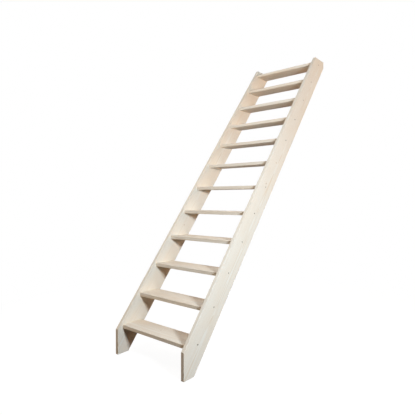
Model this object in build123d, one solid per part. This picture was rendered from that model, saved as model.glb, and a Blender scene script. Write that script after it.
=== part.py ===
"""Fixed loft ladder: housed treads between two raking stringers, cut plumb and level at their ends."""

import math
import os

from build123d import *

# Driving dimensions, in millimetres
TREAD_COUNT = 12
RISE = 215.0                 # from one tread's top to the next
GOING = 173.0                # from one tread's front to the next
FIRST_RISE = 217.0           # from the floor to the lowest tread's top
CLEAR_WIDTH = 660.0          # between the stringers' inner faces

STRINGER_WIDTH = 197.0       # of the board, square to its long edges
STRINGER_THICKNESS = 25.0
STRINGER_EDGE_RADIUS = 2.5
FOOT_CUT_HEIGHT = 190.0      # of the plumb cut at the front of each foot
TOP_FACE_HEIGHT = 63.0       # of the plumb cut that bears on the loft's trimmer
TOP_TREAD_DROP = 46.0        # from the stringers' tops down to the highest tread's top

TREAD_DEPTH = 183.0
TREAD_THICKNESS = 27.0
TREAD_FRONT_RADIUS = 3.0     # of the two long edges that feet and hands meet
TREAD_BACK_CHAMFER = 1.0

HOUSING_DEPTH = 10.0         # of the pocket routed in the stringer for each tread end
HOUSING_CLEARANCE = 0.2      # round the tread's section and past its end

SCREW_SHANK_DIAMETER = 5.5   # clearance hole from the stringer's outer face into the housing
COUNTERSINK_DIAMETER = 12.0  # at the outer face
COUNTERSINK_ANGLE = 90.0

# Places that follow from the sizes: the origin is the centre of the left stringer's top plumb face,
# X runs across to the right stringer, Y towards the loft and Z up
PITCH = math.degrees(math.atan2(RISE, GOING))
LEVEL_DEPTH = STRINGER_WIDTH / math.sin(math.radians(PITCH))
TOP_Z = TOP_FACE_HEIGHT / 2
BACK_EDGE_TOP_Z = -TOP_FACE_HEIGHT / 2
HIGHEST_TREAD_Z = TOP_Z - TOP_TREAD_DROP
LOWEST_TREAD_Z = HIGHEST_TREAD_Z - (TREAD_COUNT - 1) * RISE
FLOOR_Z = LOWEST_TREAD_Z - FIRST_RISE
LEFT_X = 0.0
RIGHT_X = CLEAR_WIDTH + STRINGER_THICKNESS
MIDDLE_X = (LEFT_X + RIGHT_X) / 2
TREAD_LENGTH = CLEAR_WIDTH + 2 * (HOUSING_DEPTH - HOUSING_CLEARANCE)


def board_middle_y(z):
    """Y of the stringer board's middle line at height z."""
    return (z - BACK_EDGE_TOP_Z) * GOING / RISE - LEVEL_DEPTH / 2


FRONT_PLUMB_Y = board_middle_y(FLOOR_Z + FOOT_CUT_HEIGHT) - LEVEL_DEPTH / 2


def tread_middle(number):
    """Y and Z of the middle of a tread's section, counted from 1 at the floor."""
    z = LOWEST_TREAD_Z + (number - 1) * RISE - TREAD_THICKNESS / 2
    return board_middle_y(z), z


def tread_section():
    """A tread's section as depth by height, rounded at the front and just eased at the back."""
    section = Rectangle(TREAD_DEPTH, TREAD_THICKNESS)
    section = fillet(section.vertices().sort_by(Axis.X)[:2], TREAD_FRONT_RADIUS)
    return chamfer(section.vertices().sort_by(Axis.X)[-2:], TREAD_BACK_CHAMFER)


def across_ladder(section, start_x, length, number):
    """A flat section, drawn as depth by height, run along X at a tread's place."""
    y, z = tread_middle(number)
    return extrude(Plane((start_x, y, z), x_dir=(0, 1, 0), z_dir=(1, 0, 0)) * section, length)


def stringer_blank(middle_x):
    """The board with its eased long edges, trimmed level at floor and top and plumb at front and back."""
    height = TOP_Z - FLOOR_Z
    length = height / math.sin(math.radians(PITCH)) + 2 * LEVEL_DEPTH
    middle_z = (TOP_Z + FLOOR_Z) / 2
    along = Vector(0, GOING, RISE).normalized()
    start = Vector(middle_x, board_middle_y(middle_z), middle_z) - along * (length / 2)
    section = RectangleRounded(STRINGER_THICKNESS, STRINGER_WIDTH, STRINGER_EDGE_RADIUS)
    board = extrude(Plane(start, x_dir=(1, 0, 0), z_dir=along) * section, length)
    trimmed_space = Box(2 * STRINGER_THICKNESS, -FRONT_PLUMB_Y, height)
    return board & Pos(middle_x, FRONT_PLUMB_Y / 2, middle_z) * trimmed_space


def stringer(middle_x, inward):
    """A stringer with a housing and a countersunk hole for every tread; inward is 1 or -1 along X."""
    body = stringer_blank(middle_x)
    inner_x = middle_x + inward * STRINGER_THICKNESS / 2
    outer_x = middle_x - inward * STRINGER_THICKNESS / 2
    housing = offset(tread_section(), HOUSING_CLEARANCE, kind=Kind.INTERSECTION)
    screw_hole = CounterSinkHole(
        radius=SCREW_SHANK_DIAMETER / 2,
        counter_sink_radius=COUNTERSINK_DIAMETER / 2,
        depth=STRINGER_THICKNESS,
        counter_sink_angle=COUNTERSINK_ANGLE,
    )
    for number in range(1, TREAD_COUNT + 1):
        body -= across_ladder(housing, inner_x, -inward * HOUSING_DEPTH, number)
        body -= Plane((outer_x, *tread_middle(number)), z_dir=(-inward, 0, 0)) * screw_hole
    return body


def tread(number):
    """A tread board, cut square at the ends that enter the housings."""
    return across_ladder(tread_section(), MIDDLE_X - TREAD_LENGTH / 2, TREAD_LENGTH, number)


def main():
    """Write every piece as a file of its own."""
    os.makedirs("parts", exist_ok=True)
    pieces = {
        "left_stringer": stringer(LEFT_X, 1),
        "right_stringer": stringer(RIGHT_X, -1),
    }
    for number in range(1, TREAD_COUNT + 1):
        pieces[f"tread_{number:02d}"] = tread(number)
    for name, shape in pieces.items():
        export_step(shape, f"parts/{name}.step")


main()
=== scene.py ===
"""Loft ladder in raw softwood: board finishes, tread screws, studio light and camera, in metres."""

import logging
import math
from dataclasses import dataclass, field
from enum import Enum
from typing import Sequence

import bmesh
import bpy
from mathutils import Matrix, Vector


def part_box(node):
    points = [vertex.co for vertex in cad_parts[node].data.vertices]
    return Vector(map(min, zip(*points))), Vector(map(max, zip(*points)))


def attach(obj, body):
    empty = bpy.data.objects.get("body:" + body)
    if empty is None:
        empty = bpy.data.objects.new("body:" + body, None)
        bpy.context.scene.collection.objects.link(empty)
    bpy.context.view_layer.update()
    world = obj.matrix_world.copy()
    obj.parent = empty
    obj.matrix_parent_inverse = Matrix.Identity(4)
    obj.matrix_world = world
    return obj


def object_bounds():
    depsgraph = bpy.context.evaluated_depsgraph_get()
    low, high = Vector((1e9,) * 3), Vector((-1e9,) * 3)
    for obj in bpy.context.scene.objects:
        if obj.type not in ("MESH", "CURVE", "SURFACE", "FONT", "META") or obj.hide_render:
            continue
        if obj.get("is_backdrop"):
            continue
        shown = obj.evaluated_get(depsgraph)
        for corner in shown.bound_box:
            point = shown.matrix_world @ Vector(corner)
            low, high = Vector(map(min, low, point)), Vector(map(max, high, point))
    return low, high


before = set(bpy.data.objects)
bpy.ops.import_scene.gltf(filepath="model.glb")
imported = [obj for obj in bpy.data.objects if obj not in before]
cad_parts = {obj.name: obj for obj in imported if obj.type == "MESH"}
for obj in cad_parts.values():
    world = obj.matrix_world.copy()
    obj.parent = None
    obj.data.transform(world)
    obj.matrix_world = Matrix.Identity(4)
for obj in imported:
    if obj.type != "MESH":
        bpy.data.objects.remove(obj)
LOG = logging.getLogger("loft_ladder")

Triple = tuple[float, float, float]
Colour = Triple
WHITE: Colour = (1.0, 1.0, 1.0)


class Cut(Enum):
    """How a board was sawn from its log, as the pith's distance below the board's middle."""

    FLAT = 0.055
    RIFT = 0.030
    HEART = 0.012


class Side(Enum):
    """Which way a stringer's outer face looks along X."""

    LEFT = -1
    RIGHT = 1


def srgb(red: int, green: int, blue: int) -> Colour:
    """A display colour from 0 to 255 as the linear colour that a shader takes, by the sRGB curve."""
    shares = (value / 255 for value in (red, green, blue))
    return tuple(s / 12.92 if s <= 0.04045 else ((s + 0.055) / 1.055) ** 2.4 for s in shares)


class Tree:
    """A shader or geometry node tree with short calls that add nodes and join sockets."""

    def __init__(self, nodes: bpy.types.NodeTree) -> None:
        """Keep the node tree to fill."""
        self.tree = nodes

    def add(self, kind: str, *inputs: object, **settings: object) -> bpy.types.Node:
        """Add a node, set its properties and fill its inputs in order.

        Args:
            kind: The node's type name.
            *inputs: A socket to join, a value to set, or None to leave an input as it is.
            **settings: Properties of the node.

        Returns:
            The new node.
        """
        node = self.tree.nodes.new(kind)
        for name, value in settings.items():
            setattr(node, name, value)
        for index, value in enumerate(inputs):
            self.put(node.inputs[index], value)
        return node

    def put(self, socket: bpy.types.NodeSocket, value: object) -> None:
        """Join a socket to another, or set its value.

        Args:
            socket: The input socket.
            value: A socket, a plain value, a linear colour or None.
        """
        if value is None:
            return
        if isinstance(value, bpy.types.NodeSocket):
            self.tree.links.new(value, socket)
        elif socket.type == "RGBA":
            socket.default_value = (*value[:3], 1.0)
        else:
            socket.default_value = value

    def math(self, operation: str, *values: object, clamp: bool = False) -> bpy.types.NodeSocket:
        """A Math node's result from sockets or numbers, kept from 0 to 1 where clamp is set."""
        return self.add("ShaderNodeMath", *values, operation=operation, use_clamp=clamp).outputs[0]

    def vector(self, operation: str, *values: object) -> bpy.types.Node:
        """A Vector Math node that works on sockets or vectors."""
        return self.add("ShaderNodeVectorMath", *values, operation=operation)

    def stretch(self, place: object, factors: Triple) -> bpy.types.NodeSocket:
        """A place scaled by a factor on each axis."""
        return self.vector("MULTIPLY", place, factors).outputs[0]

    def fade(self, value: object, start: float, end: float, low: float = 0.0,
             high: float = 1.0) -> bpy.types.NodeSocket:
        """A smooth step of a value, from low at its start to high at its end."""
        node = self.add("ShaderNodeMapRange", value, start, end, low, high, interpolation_type="SMOOTHSTEP")
        return node.outputs[0]

    def noise(self, place: object, scale: float, detail: float = 2.0, rough: float = 0.5) -> bpy.types.NodeSocket:
        """A noise value from 0 to 1 about 0.5.

        Args:
            place: The vector to read.
            scale: Features in each unit of the vector.
            detail: Octaves.
            rough: How strong each finer octave is.

        Returns:
            The noise's value socket.
        """
        node = self.add("ShaderNodeTexNoise", noise_dimensions="3D")
        self.put(node.inputs["Vector"], place)
        self.put(node.inputs["Scale"], scale)
        self.put(node.inputs["Detail"], detail)
        self.put(node.inputs["Roughness"], rough)
        return node.outputs["Fac"]

    def blend(self, share: object, first: object, second: object) -> bpy.types.NodeSocket:
        """One colour laid over another.

        Args:
            share: How much of the second shows.
            first: The colour below.
            second: The colour above.

        Returns:
            The colour's socket.
        """
        node = self.add("ShaderNodeMix", data_type="RGBA", blend_type="MIX", clamp_result=True)
        for name, value in (("Factor_Float", share), ("A_Color", first), ("B_Color", second)):
            self.put(next(s for s in node.inputs if s.identifier == name), value)
        return next(s for s in node.outputs if s.identifier == "Result_Color")


def new_material(name: str) -> tuple[bpy.types.Material, Tree]:
    """A material with an empty node tree.

    Args:
        name: The material's name.

    Returns:
        The material and its tree.
    """
    material = bpy.data.materials.new(name)
    material.use_nodes = True
    material.node_tree.nodes.clear()
    return material, Tree(material.node_tree)


def make_group(name: str, inputs: dict[str, float | Triple],
               outputs: Sequence[str]) -> tuple[Tree, dict, dict]:
    """A shader node group with named sockets.

    Args:
        name: The group's name.
        inputs: Each input's value, a number or a vector.
        outputs: The names of the outputs, which are all numbers.

    Returns:
        The group's tree, its input sockets by name and the output node's sockets by name.
    """
    group = bpy.data.node_groups.new(name, "ShaderNodeTree")
    for label, value in inputs.items():
        kind = "NodeSocketVector" if isinstance(value, tuple) else "NodeSocketFloat"
        socket = group.interface.new_socket(name=label, in_out="INPUT", socket_type=kind)
        socket.default_value = value
    for label in outputs:
        group.interface.new_socket(name=label, in_out="OUTPUT", socket_type="NodeSocketFloat")
    start = group.nodes.new("NodeGroupInput")
    end = group.nodes.new("NodeGroupOutput")
    return Tree(group), {s.name: s for s in start.outputs}, {s.name: s for s in end.inputs}


def growth_rings_group() -> bpy.types.NodeTree:
    """Growth rings of a board cut from a log, read along, across and through the board.

    The rings are cylinders about a wandering pith, so that they draw flames on a flat face, lines on an edge and
    arcs on a cut end, and they bend round knots.

    Returns:
        The node group.
    """
    tree, given, made = make_group(
        "growth_rings",
        {"Place": (0.0, 0.0, 0.0), "Pith Across": 0.0, "Pith Below": 0.05, "Ring Width": 0.004, "Wander": 0.012,
         "Knot Pull": 0.0},
        ("Latewood", "Ring Tone", "Fibre", "Flecks"),
    )
    drift_scale, drift_every = (0.9, 3.0, 3.0), 1.6
    shiver_scale, shiver_reach = (3.0, 26.0, 26.0), 0.0016
    log_taper = 0.004
    uneven_every, uneven_by = 0.35, 1.6
    late_start, late_full, late_end = 0.25, 0.93, 0.96
    fibre_scale, fleck_scale = (9.0, 700.0, 700.0), (70.0, 1900.0, 1900.0)
    fleck_range = (0.68, 0.76)
    place = given["Place"]
    drift = tree.math("SUBTRACT", tree.noise(tree.stretch(place, drift_scale), drift_every, 2.0), 0.5)
    wander = tree.math("MULTIPLY", drift, given["Wander"])
    shiver = tree.math("SUBTRACT", tree.noise(tree.stretch(place, shiver_scale), 1.0), 0.5)
    split = tree.add("ShaderNodeSeparateXYZ", place)
    across = tree.math("ADD", tree.math("SUBTRACT", split.outputs[1], given["Pith Across"]), wander)
    below = tree.math("ADD", tree.math("ADD", split.outputs[2], given["Pith Below"]), wander)
    squares = [tree.math("MULTIPLY", reach, reach) for reach in (across, below)]
    radius = tree.math("SQRT", tree.math("ADD", *squares))
    radius = tree.math("ADD", radius, tree.math("MULTIPLY", split.outputs[0], log_taper))
    radius = tree.math("ADD", radius, tree.math("MULTIPLY", shiver, shiver_reach))
    radius = tree.math("ADD", radius, given["Knot Pull"])
    turns = tree.math("DIVIDE", radius, given["Ring Width"])
    uneven = tree.add("ShaderNodeTexNoise", noise_dimensions="1D")
    tree.put(uneven.inputs["W"], turns)
    tree.put(uneven.inputs["Scale"], uneven_every)
    turns = tree.math("ADD", turns, tree.math("MULTIPLY", uneven.outputs["Fac"], uneven_by))
    inside = tree.math("FRACT", turns)
    late = tree.math("MULTIPLY", tree.fade(inside, late_start, late_full), tree.fade(inside, 1.0, late_end))
    tree.put(made["Latewood"], late)
    tone = tree.add("ShaderNodeTexWhiteNoise", noise_dimensions="1D")
    tree.put(tone.inputs["W"], tree.math("FLOOR", turns))
    tree.put(made["Ring Tone"], tone.outputs["Value"])
    tree.put(made["Fibre"], tree.noise(tree.stretch(place, fibre_scale), 1.0, 3.0, 0.6))
    flecks = tree.noise(tree.stretch(place, fleck_scale), 1.0, 1.0)
    tree.put(made["Flecks"], tree.fade(flecks, *fleck_range))
    return tree.tree


def knots_group() -> bpy.types.NodeTree:
    """Round knots scattered along a board, each with its own dark rim, halo and pull on the rings.

    Returns:
        The node group.
    """
    tree, given, made = make_group(
        "board_knots",
        {"Place": (0.0, 0.0, 0.0), "Spacing": 0.24, "Radius": 0.009, "Share": 0.5},
        ("Knot", "Rim", "Halo", "Pull"),
    )
    oval = (1.0, 1.35, 0.0)
    outline_bend, outline_scale = (0.006, 0.004, 0.0), 70.0
    smallest, largest = 0.45, 1.25
    knot_edge, halo_edge = (1.05, 0.9), (3.4, 0.9)
    rim_outer, rim_inner = (1.25, 1.0), (0.72, 0.95)
    pull_fall, pull_strength = -0.16, 1.1
    wobble = tree.add("ShaderNodeTexNoise", noise_dimensions="3D")
    tree.put(wobble.inputs["Vector"], given["Place"])
    tree.put(wobble.inputs["Scale"], outline_scale)
    shift = tree.vector("SUBTRACT", wobble.outputs["Color"], (0.5, 0.5, 0.5)).outputs[0]
    flat = tree.vector("ADD", tree.stretch(given["Place"], oval), tree.stretch(shift, outline_bend)).outputs[0]
    cells = tree.add("ShaderNodeTexVoronoi", voronoi_dimensions="2D", feature="F1")
    tree.put(cells.inputs["Vector"], flat)
    tree.put(cells.inputs["Scale"], tree.math("DIVIDE", 1.0, given["Spacing"]))
    away = tree.math("MULTIPLY", cells.outputs["Distance"], given["Spacing"])
    dice = tree.add("ShaderNodeSeparateColor", cells.outputs["Color"])
    there = tree.math("LESS_THAN", dice.outputs[0], given["Share"])
    radius = tree.math("MULTIPLY", given["Radius"], tree.fade(dice.outputs[1], 0.0, 1.0, smallest, largest))
    ratio = tree.math("DIVIDE", away, radius)
    tree.put(made["Knot"], tree.math("MULTIPLY", there, tree.fade(ratio, *knot_edge)))
    rim = tree.math("MULTIPLY", tree.fade(ratio, *rim_outer), tree.fade(ratio, *rim_inner))
    tree.put(made["Rim"], tree.math("MULTIPLY", there, rim))
    tree.put(made["Halo"], tree.math("MULTIPLY", there, tree.fade(ratio, *halo_edge)))
    near = tree.math("EXPONENT", tree.math("MULTIPLY", tree.math("MULTIPLY", ratio, ratio), pull_fall))
    strength = tree.math("MULTIPLY", radius, pull_strength)
    tree.put(made["Pull"], tree.math("MULTIPLY", tree.math("MULTIPLY", there, near), strength))
    return tree.tree


def arris_group() -> bpy.types.NodeTree:
    """How near a point lies to the long edges of a board, broken up by small dents.

    Returns:
        The node group.
    """
    tree, given, made = make_group(
        "arris_wear",
        {"Place": (0.0, 0.0, 0.0), "Half Width": 0.1, "Half Thickness": 0.0125, "Reach": 0.003},
        ("Arris",),
    )
    patch_scale, patch_range = (14.0, 60.0, 60.0), (0.3, 0.7)
    least_reach, most_reach = 0.55, 1.5
    split = tree.add("ShaderNodeSeparateXYZ", given["Place"])
    side = tree.math("SUBTRACT", given["Half Width"], tree.math("ABSOLUTE", split.outputs[1]))
    face = tree.math("SUBTRACT", given["Half Thickness"], tree.math("ABSOLUTE", split.outputs[2]))
    corner = tree.math("ADD", side, face)
    patchy = tree.noise(tree.stretch(given["Place"], patch_scale), 1.0, 3.0, 0.6)
    reach = tree.math("MULTIPLY", given["Reach"], tree.fade(patchy, *patch_range, least_reach, most_reach))
    tree.put(made["Arris"], tree.math("SUBTRACT", 1.0, tree.math("DIVIDE", corner, reach), clamp=True))
    return tree.tree


def cut_end_group() -> bpy.types.NodeTree:
    """Where a surface is cut across the grain, and the marks that the saw left there.

    Returns:
        The node group.
    """
    tree, given, made = make_group(
        "cut_end",
        {"Normal": (0.0, 0.0, 1.0), "Grain": (1.0, 0.0, 0.0), "Place": (0.0, 0.0, 0.0)},
        ("End", "Saw Marks"),
    )
    end_range = (0.25, 0.5)
    saw_scale = (900.0, 900.0, 40.0)
    facing = tree.math("ABSOLUTE", tree.vector("DOT_PRODUCT", given["Normal"], given["Grain"]).outputs["Value"])
    tree.put(made["End"], tree.fade(facing, *end_range))
    tree.put(made["Saw Marks"], tree.noise(tree.stretch(given["Place"], saw_scale), 1.0, 2.0))
    return tree.tree


def handling_group() -> bpy.types.NodeTree:
    """Slow drifts of warmth over a board and the faint soiling of handling.

    Returns:
        The node group.
    """
    tree, given, made = make_group(
        "tone_drift", {"Place": (0.0, 0.0, 0.0), "Seed": (0.0, 0.0, 0.0)}, ("Warmth", "Soil"))
    away_from_rings = (7.3, 2.1, 5.9)
    warmth_scale, smear_scale = (2.3, 7.0, 7.0), (24.0, 30.0, 30.0)
    smear_range = (0.55, 0.8)
    own = tree.vector("ADD", given["Place"], given["Seed"]).outputs[0]
    moved = tree.vector("ADD", own, away_from_rings).outputs[0]
    tree.put(made["Warmth"], tree.noise(tree.stretch(moved, warmth_scale), 1.0, 2.0))
    smears = tree.noise(tree.stretch(moved, smear_scale), 1.0, 4.0, 0.62)
    tree.put(made["Soil"], tree.fade(smears, *smear_range))
    return tree.tree


@dataclass
class FinishGroups:
    """The shader groups that the finishes share, each built once."""

    rings: bpy.types.NodeTree = field(default_factory=growth_rings_group)
    knots: bpy.types.NodeTree = field(default_factory=knots_group)
    arris: bpy.types.NodeTree = field(default_factory=arris_group)
    ends: bpy.types.NodeTree = field(default_factory=cut_end_group)
    tone: bpy.types.NodeTree = field(default_factory=handling_group)

    def use(self, tree: Tree, group: bpy.types.NodeTree, **values: object) -> dict[str, bpy.types.NodeSocket]:
        """Place a group in a material.

        Args:
            tree: The material's tree.
            group: The group to place.
            **values: The group's inputs by name.

        Returns:
            The group's output sockets by name.
        """
        node = tree.add("ShaderNodeGroup", node_tree=group)
        for name, value in values.items():
            tree.put(node.inputs[name], value)
        return {socket.name: socket for socket in node.outputs}


@dataclass
class Board:
    """One board of the ladder: where its middle is, how its grain runs and which part of the log it was."""

    name: str
    centre: Vector
    turn: Triple
    grain: Vector
    width: float
    thickness: float
    cut: Cut
    number: int
    wood_apart: float = 3.1
    across_swing: float = 0.37
    across_rate: float = 2.3
    pith_swing: float = 0.035
    pith_rate: float = 5.1
    ring_width: float = 0.0032
    ring_swing: float = 0.0009
    ring_rate: float = 1.7

    @property
    def across(self) -> float:
        """How far across its log the board's own wood is read."""
        return self.across_swing * math.sin(self.across_rate * self.number)

    @property
    def seed(self) -> Triple:
        """A place in the wood that no other board shares."""
        return (self.wood_apart * self.number, self.across, 0.0)

    def rings(self) -> dict[str, float]:
        """The growth-ring values of this board.

        Returns:
            The inputs of the growth_rings group.
        """
        return {
            "Pith Across": self.across + self.pith_swing * math.sin(self.pith_rate * self.number),
            "Pith Below": self.cut.value,
            "Ring Width": self.ring_width + self.ring_swing * math.sin(self.ring_rate * self.number),
        }

    def halves(self) -> dict[str, float]:
        """The board's half sizes, as the inputs of the arris_wear group."""
        return {"Half Width": self.width / 2, "Half Thickness": self.thickness / 2}


@dataclass(frozen=True)
class SoftwoodFinish:
    """Planed and sanded softwood with no coat.

    A share is how much of a layer's colour shows where its mark is strongest. The heights are in parts of the
    bump's distance.
    """

    early: Colour = srgb(238, 231, 219)
    late: Colour = srgb(223, 202, 174)
    warm: Colour = srgb(234, 218, 197)
    knot: Colour = srgb(178, 142, 108)
    rim: Colour = srgb(128, 92, 62)
    end: Colour = srgb(216, 202, 184)
    soil: Colour = srgb(190, 180, 166)
    ring_share: float = 0.72
    palest_ring: float = 0.55
    warm_range: tuple[float, float] = (0.4, 0.7)
    warm_share: float = 0.55
    fibre_range: tuple[float, float] = (0.4, 0.75)
    fibre_share: float = 0.22
    fleck_share: float = 0.25
    halo_share: float = 0.35
    knot_share: float = 0.8
    rim_share: float = 0.7
    end_share: float = 0.85
    soil_share: float = 0.12
    arris_share: float = 0.16
    knot_spacing: float = 0.3
    knot_radius: float = 0.0055
    knot_chance: float = 0.3
    roughness: float = 0.62
    fibre_roughness: float = 0.16
    end_roughness: float = 0.15
    shine: float = 0.25
    fibre_height: float = 0.5
    late_height: float = 0.35
    rim_height: float = -0.8
    saw_height: float = 1.6
    bump_strength: float = 0.35
    bump_distance: float = 0.0004

    def marks(self, tree: Tree, board: Board, groups: FinishGroups) -> dict[str, bpy.types.NodeSocket]:
        """What the shared groups say of each point of a board.

        Args:
            tree: The material's tree.
            board: The board's place, grain and size.
            groups: The shared shader groups.

        Returns:
            The groups' output sockets by name.
        """
        where = tree.add("ShaderNodeTexCoord")
        turned = tree.add("ShaderNodeMapping", where.outputs["Object"], vector_type="TEXTURE")
        turned.inputs["Location"].default_value = board.centre
        turned.inputs["Rotation"].default_value = board.turn
        place = turned.outputs[0]
        own = tree.vector("ADD", place, board.seed).outputs[0]
        knots = groups.use(tree, groups.knots, Place=own, Spacing=self.knot_spacing, Radius=self.knot_radius,
                           Share=self.knot_chance)
        rings = groups.use(tree, groups.rings, Place=own, **board.rings(), **{"Knot Pull": knots["Pull"]})
        arris = groups.use(tree, groups.arris, Place=place, **board.halves())
        ends = groups.use(tree, groups.ends, Normal=where.outputs["Normal"], Grain=board.grain, Place=own)
        tone = groups.use(tree, groups.tone, Place=place, Seed=board.seed)
        return {**knots, **rings, **arris, **ends, **tone}

    def colour(self, tree: Tree, marks: dict[str, bpy.types.NodeSocket]) -> bpy.types.NodeSocket:
        """The wood's colour: layers laid over the earlywood.

        Args:
            tree: The material's tree.
            marks: The groups' output sockets by name.

        Returns:
            The colour's socket.
        """
        depth = tree.fade(marks["Ring Tone"], 0.0, 1.0, self.palest_ring, 1.0)
        depth = tree.math("MULTIPLY", tree.math("MULTIPLY", marks["Latewood"], depth), self.ring_share)
        layers = [
            (depth, self.late),
            (tree.fade(marks["Warmth"], *self.warm_range, 0.0, self.warm_share), self.warm),
            (tree.fade(marks["Fibre"], *self.fibre_range, 0.0, self.fibre_share), self.late),
        ]
        for mark, share, over in (
            ("Flecks", self.fleck_share, self.knot),
            ("Halo", self.halo_share, self.warm),
            ("Knot", self.knot_share, self.knot),
            ("Rim", self.rim_share, self.rim),
            ("End", self.end_share, self.end),
            ("Soil", self.soil_share, self.soil),
            ("Arris", self.arris_share, self.soil),
        ):
            layers.append((tree.math("MULTIPLY", marks[mark], share), over))
        colour = self.early
        for share, over in layers:
            colour = tree.blend(share, colour, over)
        return colour

    def relief(self, tree: Tree, marks: dict[str, bpy.types.NodeSocket]) -> bpy.types.NodeSocket:
        """The small relief of fibre, latewood, knot rims and saw marks.

        Args:
            tree: The material's tree.
            marks: The groups' output sockets by name.

        Returns:
            The bumped normal's socket.
        """
        sawn = tree.math("MULTIPLY", marks["End"], marks["Saw Marks"])
        height = tree.math("MULTIPLY", marks["Fibre"], self.fibre_height)
        for mark, part in ((marks["Latewood"], self.late_height), (marks["Rim"], self.rim_height),
                           (sawn, self.saw_height)):
            height = tree.math("ADD", height, tree.math("MULTIPLY", mark, part))
        bump = tree.add("ShaderNodeBump")
        bump.inputs["Strength"].default_value = self.bump_strength
        bump.inputs["Distance"].default_value = self.bump_distance
        tree.put(bump.inputs["Height"], height)
        return bump.outputs[0]

    def material(self, board: Board, groups: FinishGroups) -> bpy.types.Material:
        """The finish on one board, with the board's own rings and knots.

        Args:
            board: The board's place, grain and size.
            groups: The shared shader groups.

        Returns:
            The material.
        """
        material, tree = new_material(f"softwood_{board.name}")
        marks = self.marks(tree, board, groups)
        uneven = tree.math("MULTIPLY", tree.math("SUBTRACT", marks["Fibre"], 0.5), self.fibre_roughness)
        rough = tree.math("ADD", self.roughness, uneven)
        rough = tree.math("ADD", rough, tree.math("MULTIPLY", marks["End"], self.end_roughness), clamp=True)
        surface = tree.add("ShaderNodeBsdfPrincipled")
        tree.put(surface.inputs["Base Color"], self.colour(tree, marks))
        tree.put(surface.inputs["Roughness"], rough)
        tree.put(surface.inputs["Normal"], self.relief(tree, marks))
        surface.inputs["Specular IOR Level"].default_value = self.shine
        tree.add("ShaderNodeOutputMaterial", surface.outputs[0])
        return material


def tread_names() -> list[str]:
    """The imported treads' names, from the lowest up."""
    return sorted(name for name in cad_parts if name.startswith("tread"))


@dataclass
class Flight:
    """The ladder's pitch and tread places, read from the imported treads."""

    treads: list[str] = field(default_factory=tread_names)

    def middle(self, tread: str) -> Vector:
        """The middle of a tread's box."""
        low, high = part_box(tread)
        return (low + high) / 2

    @property
    def threshold(self) -> Vector:
        """The middle of the lowest tread's upper front edge, from which the camera and the lamps are set out."""
        low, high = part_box(self.treads[0])
        return Vector(((low.x + high.x) / 2, low.y, high.z))

    @property
    def step(self) -> Vector:
        """From one tread's middle to the next one's."""
        return self.middle(self.treads[1]) - self.middle(self.treads[0])

    @property
    def pitch(self) -> float:
        """The stringers' angle above level, in radians."""
        return math.atan2(self.step.z, self.step.y)


def paint(node: str, material: bpy.types.Material) -> None:
    """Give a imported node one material.

    Args:
        node: The node's name.
        material: The finish.
    """
    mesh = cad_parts[node].data
    mesh.materials.clear()
    mesh.materials.append(material)


@dataclass
class Treads:
    """The tread boards, with their grain running from stringer to stringer."""

    flight: Flight
    finish: SoftwoodFinish
    cuts: tuple[Cut, ...] = (Cut.FLAT, Cut.RIFT, Cut.FLAT, Cut.HEART)

    def dress(self, groups: FinishGroups) -> None:
        """Give each tread its own board of wood.

        Args:
            groups: The shared shader groups.
        """
        for number, name in enumerate(self.flight.treads):
            low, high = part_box(name)
            board = Board(
                name=name,
                centre=(low + high) / 2,
                turn=(0.0, 0.0, 0.0),
                grain=Vector((1, 0, 0)),
                width=high.y - low.y,
                thickness=high.z - low.z,
                cut=self.cuts[number % len(self.cuts)],
                number=number + 1,
            )
            paint(name, self.finish.material(board, groups))
        LOG.info("treads: %d boards", len(self.flight.treads))


@dataclass
class Stringers:
    """The raking side boards, with their grain running up the slope."""

    flight: Flight
    finish: SoftwoodFinish
    first_number: int = 21

    def dress(self, groups: FinishGroups) -> None:
        """Give each stringer its own board of wood.

        Args:
            groups: The shared shader groups.
        """
        pitch = self.flight.pitch
        along = Vector((0, math.cos(pitch), math.sin(pitch)))
        across = Vector((0, -math.sin(pitch), math.cos(pitch)))
        turn = Matrix((along, across, (1, 0, 0))).transposed().to_euler()
        for number, name in enumerate(("left_stringer", "right_stringer"), self.first_number):
            low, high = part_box(name)
            reaches = [v.co.dot(across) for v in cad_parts[name].data.vertices]
            centre = self.flight.middle(self.flight.treads[0])
            centre.x = (low.x + high.x) / 2
            board = Board(
                name=name,
                centre=centre,
                turn=tuple(turn),
                grain=along,
                width=max(reaches) - min(reaches),
                thickness=high.x - low.x,
                cut=Cut.FLAT,
                number=number,
            )
            paint(name, self.finish.material(board, groups))
            LOG.info("%s: %.0f mm wide board", name, board.width * 1000)


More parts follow.
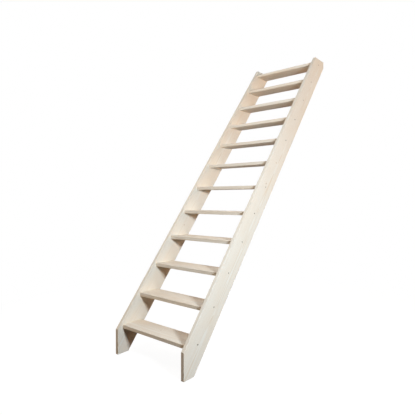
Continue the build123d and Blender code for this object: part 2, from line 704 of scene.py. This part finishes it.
@dataclass(frozen=True)
class ScrewFinish:
    """Dull bronze-coloured zinc on a tread screw, darker on some than on others."""

    metal: Colour = srgb(112, 100, 84)
    worn: Colour = srgb(172, 160, 140)
    dark: Colour = srgb(58, 50, 42)
    mottle_scale: float = 900.0
    worn_range: tuple[float, float] = (0.4, 0.7)
    screw_scale: float = 5.0
    dark_range: tuple[float, float] = (0.35, 0.6)
    dark_share: float = 0.85
    roughness: float = 0.45
    roughness_spread: float = 0.1
    rough_range: tuple[float, float] = (0.3, 0.7)
    metallic: float = 0.85

    def material(self) -> bpy.types.Material:
        """Build the metal.

        Returns:
            The material.
        """
        material, tree = new_material("screw_zinc")
        where = tree.add("ShaderNodeTexCoord").outputs["Object"]
        mottled = tree.noise(where, self.mottle_scale, 3.0, 0.6)
        by_screw = tree.noise(where, self.screw_scale, 0.0)
        metal = tree.blend(tree.fade(mottled, *self.worn_range), self.metal, self.worn)
        darkened = tree.blend(tree.fade(by_screw, *self.dark_range, self.dark_share, 0.0), metal, self.dark)
        rough = tree.fade(mottled, *self.rough_range, self.roughness - self.roughness_spread,
                          self.roughness + self.roughness_spread)
        surface = tree.add("ShaderNodeBsdfPrincipled")
        tree.put(surface.inputs["Base Color"], darkened)
        tree.put(surface.inputs["Roughness"], rough)
        surface.inputs["Metallic"].default_value = self.metallic
        tree.add("ShaderNodeOutputMaterial", surface.outputs[0])
        return material


@dataclass
class TreadScrews:
    """The screws through the stringers to the tread ends, sunk in their countersinks."""

    flight: Flight
    head_radius: float = 0.0049
    sunk: float = 0.00105
    shank_radius: float = 0.0025
    shank_end: float = 0.0145
    drive_radius: float = 0.0021
    drive_lobes: int = 6
    drive_lobe: float = 0.00035
    drive_depth: float = 0.0016
    drive_taper: float = 0.9
    rim: float = 0.0003
    steps: int = 36
    seed: int = 7

    def screw(self) -> bpy.types.Object:
        """One screw along X, with the stringer's outer face at X = 0 and its drive facing +X.

        Returns:
            The screw, out of the scene, for the node tree to repeat.
        """
        turns = [2 * math.pi * i / self.steps for i in range(self.steps)]
        lobed = [self.drive_radius + self.drive_lobe * math.cos(self.drive_lobes * 2 * math.pi * i / self.steps)
                 for i in range(self.steps)]
        neck = self.sunk + self.head_radius - self.shank_radius
        rings = [
            (-self.shank_end, [self.shank_radius] * self.steps),
            (-neck, [self.shank_radius] * self.steps),
            (-self.sunk, [self.head_radius] * self.steps),
            (-self.sunk, [self.head_radius - self.rim] * self.steps),
            (-self.sunk - self.rim / 3, lobed),
            (-self.sunk - self.drive_depth, [self.drive_taper * r for r in lobed]),
        ]
        shape = bmesh.new()
        loops = [[shape.verts.new((x, r * math.cos(t), r * math.sin(t))) for r, t in zip(radii, turns)]
                 for x, radii in rings]
        for low, high in zip(loops, loops[1:]):
            for i in range(self.steps):
                j = (i + 1) % self.steps
                shape.faces.new((low[i], low[j], high[j], high[i]))
        shape.faces.new(reversed(loops[0]))
        shape.faces.new(loops[-1])
        bmesh.ops.recalc_face_normals(shape, faces=shape.faces)
        mesh = bpy.data.meshes.new("tread_screw")
        shape.to_mesh(mesh)
        shape.free()
        return bpy.data.objects.new("tread_screw", mesh)

    def layout(self) -> bpy.types.NodeTree:
        """A geometry tree that sets a screw at each tread, turned at random about its length.

        Returns:
            The node group.
        """
        group = bpy.data.node_groups.new("tread_screws", "GeometryNodeTree")
        sockets = (("Geometry", "NodeSocketGeometry"), ("Screw", "NodeSocketObject"), ("Count", "NodeSocketInt"),
                   ("Start", "NodeSocketVector"), ("Step", "NodeSocketVector"), ("Facing", "NodeSocketFloat"),
                   ("Seed", "NodeSocketInt"), ("Finish", "NodeSocketMaterial"))
        for name, kind in sockets:
            group.interface.new_socket(name=name, in_out="INPUT", socket_type=kind)
        group.interface.new_socket(name="Geometry", in_out="OUTPUT", socket_type="NodeSocketGeometry")
        tree = Tree(group)
        given = {s.name: s for s in group.nodes.new("NodeGroupInput").outputs}
        line = tree.add("GeometryNodeMeshLine", mode="OFFSET")
        tree.put(line.inputs["Count"], given["Count"])
        tree.put(line.inputs["Start Location"], given["Start"])
        tree.put(line.inputs["Offset"], given["Step"])
        spin = tree.add("FunctionNodeRandomValue", data_type="FLOAT")
        least, most = [s for s in spin.inputs if s.type == "VALUE" and s.enabled][:2]
        tree.put(least, 0.0)
        tree.put(most, 2 * math.pi)
        tree.put(spin.inputs["Seed"], given["Seed"])
        turned = tree.add("ShaderNodeCombineXYZ", next(s for s in spin.outputs if s.enabled), 0.0, given["Facing"])
        shape = tree.add("GeometryNodeObjectInfo")
        tree.put(shape.inputs["Object"], given["Screw"])
        placed = tree.add("GeometryNodeInstanceOnPoints")
        tree.put(placed.inputs["Points"], line.outputs["Mesh"])
        tree.put(placed.inputs["Instance"], shape.outputs["Geometry"])
        tree.put(placed.inputs["Rotation"], turned.outputs[0])
        real = tree.add("GeometryNodeRealizeInstances", placed.outputs[0])
        done = tree.add("GeometryNodeSetMaterial")
        tree.put(done.inputs["Geometry"], real.outputs[0])
        tree.put(done.inputs["Material"], given["Finish"])
        tree.add("NodeGroupOutput", done.outputs[0])
        return group

    def build(self, finish: ScrewFinish) -> None:
        """Set the screws in both stringers, one mesh of screws for each.

        Args:
            finish: The screws' metal.
        """
        screw, layout, metal = self.screw(), self.layout(), finish.material()
        for side, node in ((Side.LEFT, "left_stringer"), (Side.RIGHT, "right_stringer")):
            low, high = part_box(node)
            start = self.flight.middle(self.flight.treads[0])
            start.x = high.x if side is Side.RIGHT else low.x
            piece = grow(f"{side.name.lower()}_tread_screws", layout, {
                "Screw": screw,
                "Count": len(self.flight.treads),
                "Start": start,
                "Step": self.flight.step,
                "Facing": 0.0 if side is Side.RIGHT else math.pi,
                "Seed": self.seed + side.value,
                "Finish": metal,
            })
            LOG.info("%s: %d screws", piece.name, len(self.flight.treads))
        bpy.data.objects.remove(screw)


def grow(name: str, tree: bpy.types.NodeTree, values: dict[str, object]) -> bpy.types.Object:
    """Run a geometry tree and keep its result as a plain mesh that rides on the ladder.

    Args:
        name: The new piece's name.
        tree: The geometry node group.
        values: The group's inputs by name.

    Returns:
        The finished piece.
    """
    carrier = bpy.data.objects.new(f"{name}_source", bpy.data.meshes.new(f"{name}_source"))
    bpy.context.scene.collection.objects.link(carrier)
    modifier = carrier.modifiers.new("grow", "NODES")
    modifier.node_group = tree
    for item in tree.interface.items_tree:
        if item.in_out == "INPUT" and item.name in values:
            modifier[item.identifier] = values[item.name]
    evaluated = carrier.evaluated_get(bpy.context.evaluated_depsgraph_get())
    mesh = bpy.data.meshes.new_from_object(evaluated)
    mesh.name = name
    bpy.data.objects.remove(carrier)
    piece = bpy.data.objects.new(name, mesh)
    bpy.context.scene.collection.objects.link(piece)
    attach(piece, "root")
    return piece


@dataclass(frozen=True)
class Lamp:
    """A soft round lamp: its offset from the flight's threshold, its width in metres and its power in watts."""

    name: str
    offset: Triple
    width: float
    power: float
    colour: Colour = WHITE

    def build(self, start: Vector, target: Vector) -> None:
        """Hang the lamp.

        Args:
            start: The flight's threshold.
            target: The point that the lamp looks at.
        """
        data = bpy.data.lights.new(self.name, "AREA")
        data.shape = "DISK"
        data.size = self.width
        data.energy = self.power
        data.color = self.colour
        lamp = bpy.data.objects.new(self.name, data)
        lamp.location = start + Vector(self.offset)
        lamp.rotation_euler = (target - lamp.location).to_track_quat("-Z", "Y").to_euler()
        lamp.visible_camera = False
        bpy.context.scene.collection.objects.link(lamp)


@dataclass
class Studio:
    """A white ground and room, soft lamps round the ladder and the photograph's camera.

    The lamps are a cool key on the right, two high ones, a soft and an orange one behind on the right, a weak one low
    in front, and plain fills on the left and behind. They and the camera are set out from the flight's threshold.
    """

    flight: Flight
    lamps: tuple[Lamp, ...] = (
        Lamp("key", (2.66, -0.51, 1.34), 0.45, 91.0, (0.80, 0.91, 1.0)),
        Lamp("high_front", (-0.84, -1.1, 3.9), 1.0, 42.0, (1.0, 0.90, 0.82)),
        Lamp("high_right", (1.46, 1.13, 4.79), 0.6, 22.0, (0.80, 0.90, 1.0)),
        Lamp("back_right", (1.26, 3.53, 2.59), 1.0, 12.0, (1.0, 0.88, 0.72)),
        Lamp("low_back_right", (1.46, 3.33, 1.49), 0.8, 15.0, (1.0, 0.48, 0.14)),
        Lamp("low_front", (-0.54, -1.27, 0.04), 0.8, 3.5, (1.0, 0.72, 0.40)),
        Lamp("left", (-2.74, 0.50, 1.9), 2.0, 40.0),
        Lamp("back", (-1.3, 4.2, 2.7), 1.6, 18.0),
    )
    camera_place: Triple = (2.0318, -1.8224, 0.9653)
    camera_turn: float = 0.694
    camera_tilt: float = -0.023
    lens: float = 33.204
    sensor: float = 36.0
    air_fill: Colour = (0.012, 0.010, 0.008)
    floor_bounce: Colour = (0.11, 0.06, 0.03)
    floor_reach: float = 14.0
    floor_segments: int = 8
    shadow_share: float = 0.10
    shadow_near: float = 1.6
    shadow_far: float = 2.6
    lit_level: float = 0.5

    def ground(self, low: Vector, high: Vector) -> None:
        """Lay the floor under the ladder's feet: white, with the ladder's shadow faint near it.

        Args:
            low: The ladder's lowest corner.
            high: The ladder's highest corner.
        """
        middle = (low + high) / 2
        centre = (middle.x, middle.y, low.z)
        shape = bmesh.new()
        bmesh.ops.create_grid(shape, x_segments=self.floor_segments, y_segments=self.floor_segments,
                              size=self.floor_reach)
        bmesh.ops.translate(shape, verts=shape.verts, vec=centre)
        mesh = bpy.data.meshes.new("studio_floor")
        shape.to_mesh(mesh)
        shape.free()
        floor = bpy.data.objects.new("studio_floor", mesh)
        bpy.context.scene.collection.objects.link(floor)
        mesh.materials.append(self.ground_material(centre))
        floor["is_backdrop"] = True

    def ground_material(self, centre: Triple) -> bpy.types.Material:
        """White where it is seen, with a share of real diffuse near the ladder, and a warm bounce for other rays.

        Args:
            centre: The point below the ladder's middle.

        Returns:
            The material.
        """
        material, tree = new_material("studio_floor")
        where = tree.add("ShaderNodeTexCoord").outputs["Object"]
        away = tree.vector("DISTANCE", where, centre).outputs["Value"]
        share = tree.fade(away, self.shadow_near, self.shadow_far, self.shadow_share, 0.0)
        level = tree.math("SUBTRACT", 1.0, tree.math("MULTIPLY", share, self.lit_level))
        white = tree.add("ShaderNodeEmission", WHITE, level)
        shade = tree.add("ShaderNodeCombineXYZ", share, share, share)
        shaded = tree.add("ShaderNodeBsdfDiffuse", shade.outputs[0])
        seen = tree.add("ShaderNodeAddShader", white.outputs[0], shaded.outputs[0])
        bounce = tree.add("ShaderNodeBsdfDiffuse", self.floor_bounce)
        mixed = tree.add("ShaderNodeMixShader", self.seen_directly(tree), bounce.outputs[0], seen.outputs[0])
        tree.add("ShaderNodeOutputMaterial", mixed.outputs[0])
        return material

    def seen_directly(self, tree: Tree) -> bpy.types.NodeSocket:
        """Whether a ray comes from the camera, a mirror or glass.

        Args:
            tree: The tree to add to.

        Returns:
            The socket, 1 on such rays.
        """
        path = tree.add("ShaderNodeLightPath")
        seen = tree.math("MAXIMUM", path.outputs["Is Camera Ray"], path.outputs["Is Glossy Ray"])
        return tree.math("MAXIMUM", seen, path.outputs["Is Transmission Ray"])

    def air(self) -> None:
        """Fill the room with a trace of light, white where it is seen."""
        world = bpy.data.worlds.new("studio")
        world.use_nodes = True
        world.node_tree.nodes.clear()
        tree = Tree(world.node_tree)
        fill = tree.add("ShaderNodeBackground", self.air_fill, 1.0)
        white = tree.add("ShaderNodeBackground", WHITE, 1.0)
        mixed = tree.add("ShaderNodeMixShader", self.seen_directly(tree), fill.outputs[0], white.outputs[0])
        tree.add("ShaderNodeOutputWorld", mixed.outputs[0])
        bpy.context.scene.world = world

    def camera(self) -> None:
        """Stand the camera where the photograph was taken."""
        data = bpy.data.cameras.new("camera")
        data.sensor_width = self.sensor
        data.lens = self.lens
        camera = bpy.data.objects.new("camera", data)
        camera.location = self.flight.threshold + Vector(self.camera_place)
        camera.rotation_euler = (math.pi / 2 + self.camera_tilt, 0.0, self.camera_turn)
        bpy.context.scene.collection.objects.link(camera)
        bpy.context.scene.camera = camera

    def build(self) -> None:
        """Light the ladder and set the view."""
        low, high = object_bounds()
        self.ground(low, high)
        self.air()
        start, middle = self.flight.threshold, (low + high) / 2
        for lamp in self.lamps:
            lamp.build(start, middle)
        self.camera()
        bpy.context.scene.view_settings.view_transform = "Standard"
        LOG.info("studio: %d lamps", len(self.lamps))


def main() -> None:
    """Dress the ladder and light it."""
    logging.basicConfig(level=logging.INFO, format="%(name)s: %(message)s")
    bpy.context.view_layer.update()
    groups = FinishGroups()
    flight = Flight()
    wood = SoftwoodFinish()
    Stringers(flight, wood).dress(groups)
    Treads(flight, wood).dress(groups)
    TreadScrews(flight).build(ScrewFinish())
    Studio(flight).build()


if __name__ == "__main__":
    main()
